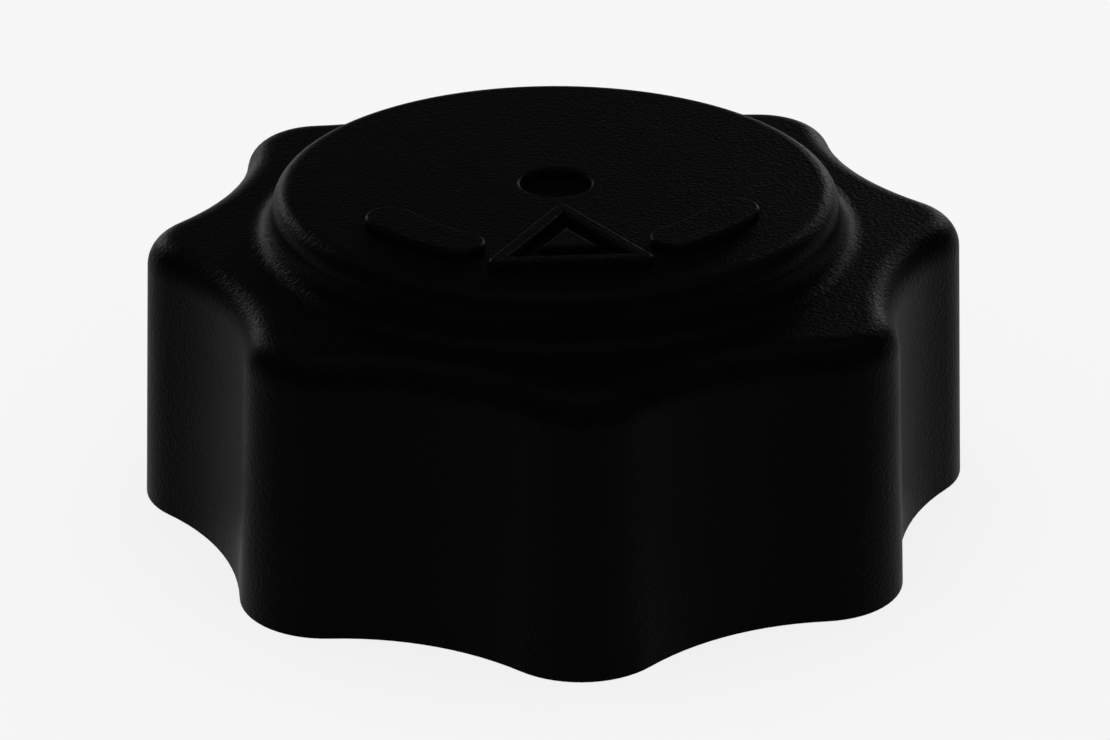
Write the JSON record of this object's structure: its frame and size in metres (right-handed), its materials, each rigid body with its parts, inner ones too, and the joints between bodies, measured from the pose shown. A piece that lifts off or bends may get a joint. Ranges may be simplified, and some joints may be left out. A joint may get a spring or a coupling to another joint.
{
  "type": "radiator cap",
  "caption": "Lobed black plastic screw cap for a coolant tank or radiator neck, with a raised round crown and a sprung pressure and vacuum valve insert hanging inside it.",
  "frame": {"origin": "middle of the rim's plane, on the cap's axis; the cap stands on its rim at z = 0", "axes": "+Z along the cap's axis, up through the crown; -Y towards the lobe and the raised triangle that face the viewer of the picture"},
  "size_m": [0.062, 0.062, 0.0249],
  "materials": {
    "shell_plastic": "black moulded plastic with a fine spark-eroded grain",
    "insert_plastic": "natural off-white moulded nylon, satin",
    "seal_rubber": "black moulded rubber",
    "spring_steel": "drawn stainless wire",
    "plate_steel": "pressed stainless sheet, lightly brushed",
    "rivet_brass": "turned brass, satin"
  },
  "bodies": {
    "cap": {"cap_shell": "shell_plastic"},
    "insert": {"valve_housing": "insert_plastic", "housing_lid": "insert_plastic", "neck_gasket": "seal_rubber", "housing_o_ring": "seal_rubber", "pressure_spring": "spring_steel"},
    "pressure_valve": {"pressure_plate": "plate_steel", "plate_seal": "seal_rubber", "seal_rivet": "rivet_brass", "vacuum_spring": "spring_steel"},
    "vacuum_valve": {"vacuum_stem": "rivet_brass", "vacuum_seal": "seal_rubber", "spring_retainer": "rivet_brass"}
  },
  "joints": [
    {"name": "insert_swivel", "type": "hinge", "parent": "cap", "child": "insert", "pos_m": [0, 0, 0.0208], "axis": [0, 0, 1], "continuous": true},
    {"name": "pressure_lift", "type": "slide", "parent": "insert", "child": "pressure_valve", "axis": [0, 0, 1], "range_m": [0, 0.0025], "stiffness_N_per_m": 4000, "springref_m": -0.008, "deforming": ["pressure_spring"]},
    {"name": "vacuum_drop", "type": "slide", "parent": "pressure_valve", "child": "vacuum_valve", "axis": [0, 0, -1], "range_m": [0, 0.0015], "stiffness_N_per_m": 150, "springref_m": -0.0015, "deforming": ["vacuum_spring"]}
  ]
}
